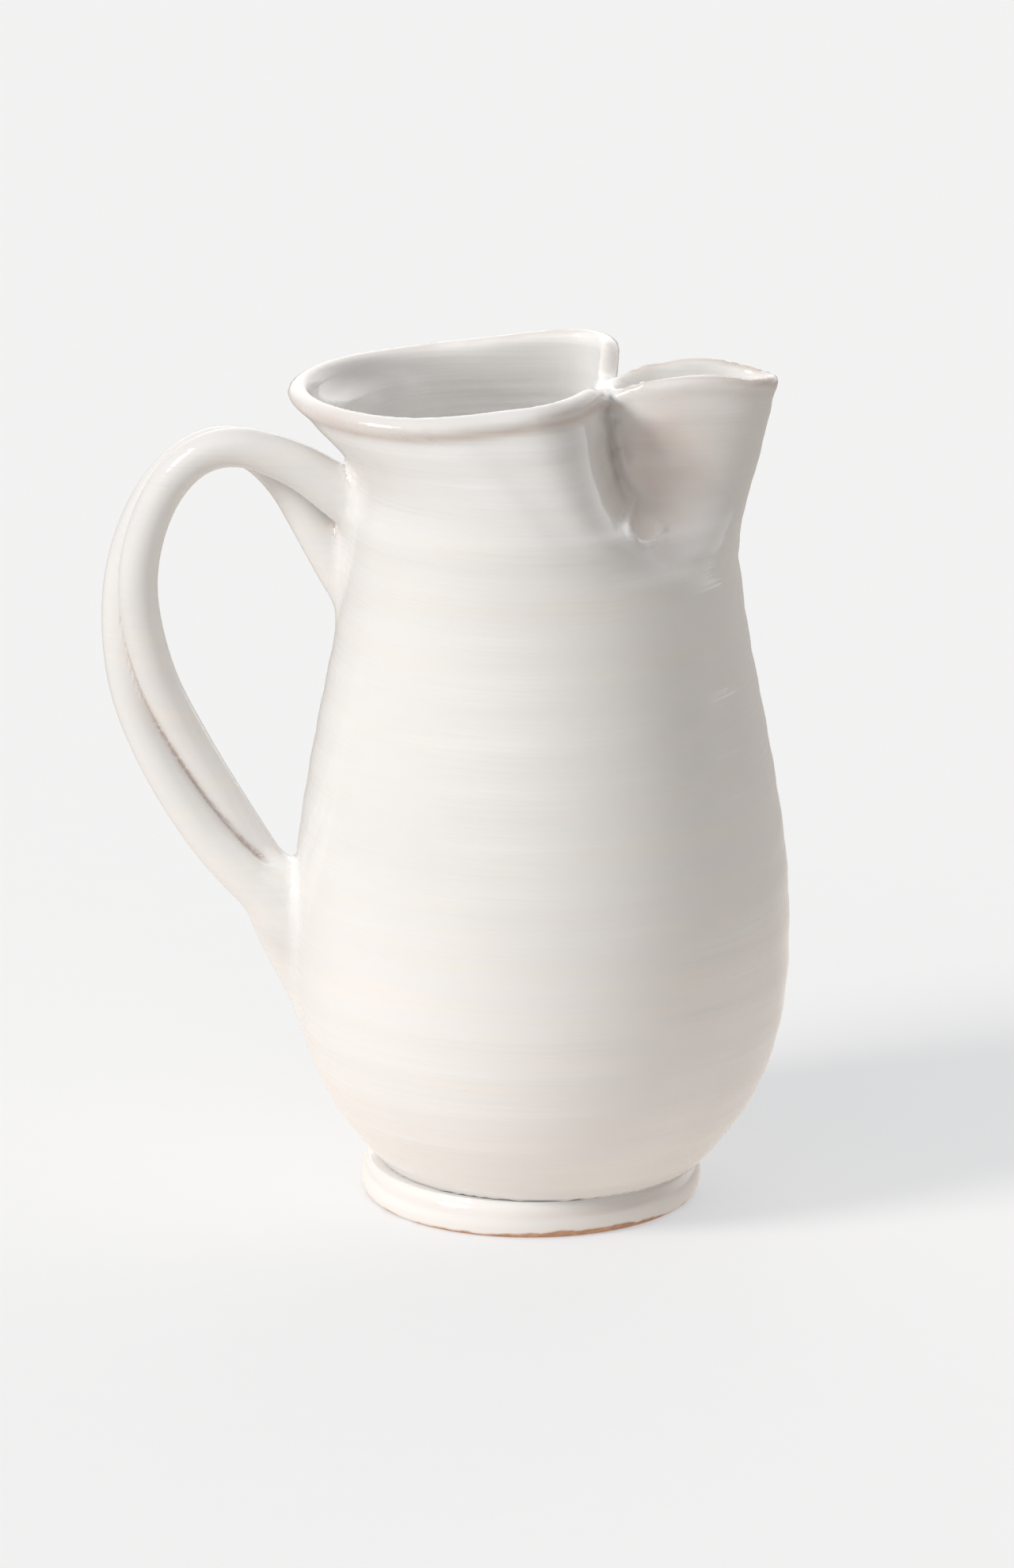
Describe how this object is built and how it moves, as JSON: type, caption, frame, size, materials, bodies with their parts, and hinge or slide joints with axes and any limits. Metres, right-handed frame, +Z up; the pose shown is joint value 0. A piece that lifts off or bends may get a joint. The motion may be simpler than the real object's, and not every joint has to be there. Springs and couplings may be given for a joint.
{
  "type": "ceramic pitcher",
  "caption": "Hand-thrown white glazed pitcher with a pinched pouring spout and a twisted rope handle.",
  "frame": {"origin": "centre of the flat base that the pitcher stands on", "axes": "+Z up, +X towards the pouring spout, the handle on the -X side"},
  "size_m": [0.1977, 0.1426, 0.2466],
  "materials": {
    "white_glaze": "glossy tin glaze, warm brown where it runs thin over edges",
    "bare_clay": "glazed on the side of the foot, bare matt terracotta along its lower edge and underneath"
  },
  "bodies": {
    "root": {"vessel_wall": "white_glaze", "turned_foot": "bare_clay", "upper_handle_pad": "white_glaze", "lower_handle_pad": "white_glaze", "outer_handle_coil": "white_glaze", "inner_handle_coil": "white_glaze"}
  },
  "joints": []
}
